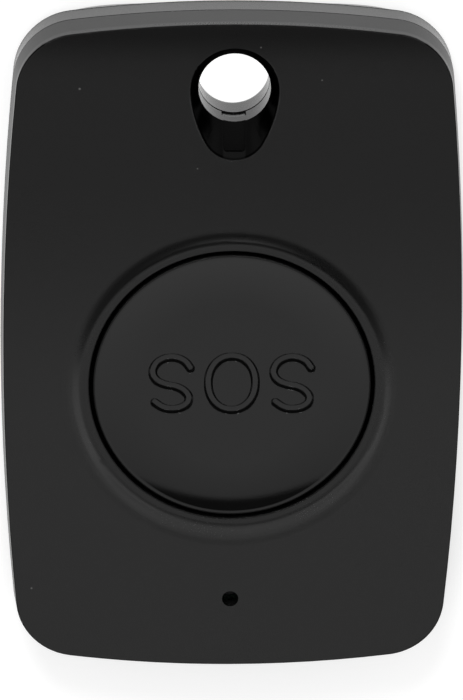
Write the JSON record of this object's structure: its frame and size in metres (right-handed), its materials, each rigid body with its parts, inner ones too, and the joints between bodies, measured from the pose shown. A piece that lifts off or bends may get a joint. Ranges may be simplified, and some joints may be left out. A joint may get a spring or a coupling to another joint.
{
  "type": "wireless panic button",
  "caption": "Flat black pendant fob with a large dished press button, a key-ring hole in an egg-shaped scoop and a small indicator window.",
  "frame": {"origin": "middle of the flat rear face, which is the bottom of the part's box", "axes": "+Z out of the front face with the press cap, +Y along the length to the key-ring hole, +X to the right seen from the front"},
  "size_m": [0.042, 0.0626, 0.0075],
  "materials": {
    "front_housing": "black moulded plastic with a very fine satin grain",
    "rear_housing": "black moulded plastic with a fine satin grain",
    "cap_plastic": "smooth black moulded plastic, semi-gloss",
    "board_laminate": "green lacquered glass-fibre laminate",
    "switch_moulding": "black heat-resistant moulding",
    "plunger_moulding": "natural white moulding",
    "tinned_contact": "tinned",
    "spring_sheet": "bright spring sheet",
    "indicator_body": "translucent white lamp body",
    "chip_package": "black moulded chip body",
    "crystal_can": "satin metal lid",
    "ferrite": "dark grey ferrite",
    "capacitor_ceramic": "tan ceramic with tinned ends",
    "board_copper": "gold-flashed copper",
    "holder_moulding": "black moulding",
    "cell_can": "nickel-plated steel can",
    "screw_steel": "zinc-plated steel"
  },
  "bodies": {
    "housing": {"front_cover": "front_housing", "rear_cover": "rear_housing", "circuit_board": "board_laminate", "switch_base": "switch_moulding", "switch_terminals": "tinned_contact", "switch_dome": "spring_sheet", "switch_frame": "spring_sheet", "indicator_led": "indicator_body", "radio_chip": "chip_package", "crystal": "crystal_can", "power_inductor": "ferrite", "protection_diode": "chip_package", "chip_capacitors": "capacitor_ceramic", "chip_resistors": "chip_package", "antenna": "board_copper", "battery_holder": "holder_moulding", "coin_cell": "cell_can", "positive_contact": "spring_sheet", "negative_contact": "spring_sheet", "case_screws": "screw_steel", "board_screws": "screw_steel"},
    "cap": {"button_cap": "cap_plastic"},
    "plunger": {"switch_plunger": "plunger_moulding"}
  },
  "joints": [
    {"name": "button_press", "type": "slide", "parent": "housing", "child": "cap", "axis": [0, 0, -1], "range_m": [0, 0.00025], "stiffness_N_per_m": 6000},
    {"name": "switch_travel", "type": "slide", "parent": "housing", "child": "plunger", "axis": [0, 0, -1], "range_m": [0, 0.00025], "deforming": ["switch_dome"]}
  ],
  "couplings": [
    {"joint": "switch_travel", "follows": "button_press", "ratio": 1}
  ]
}
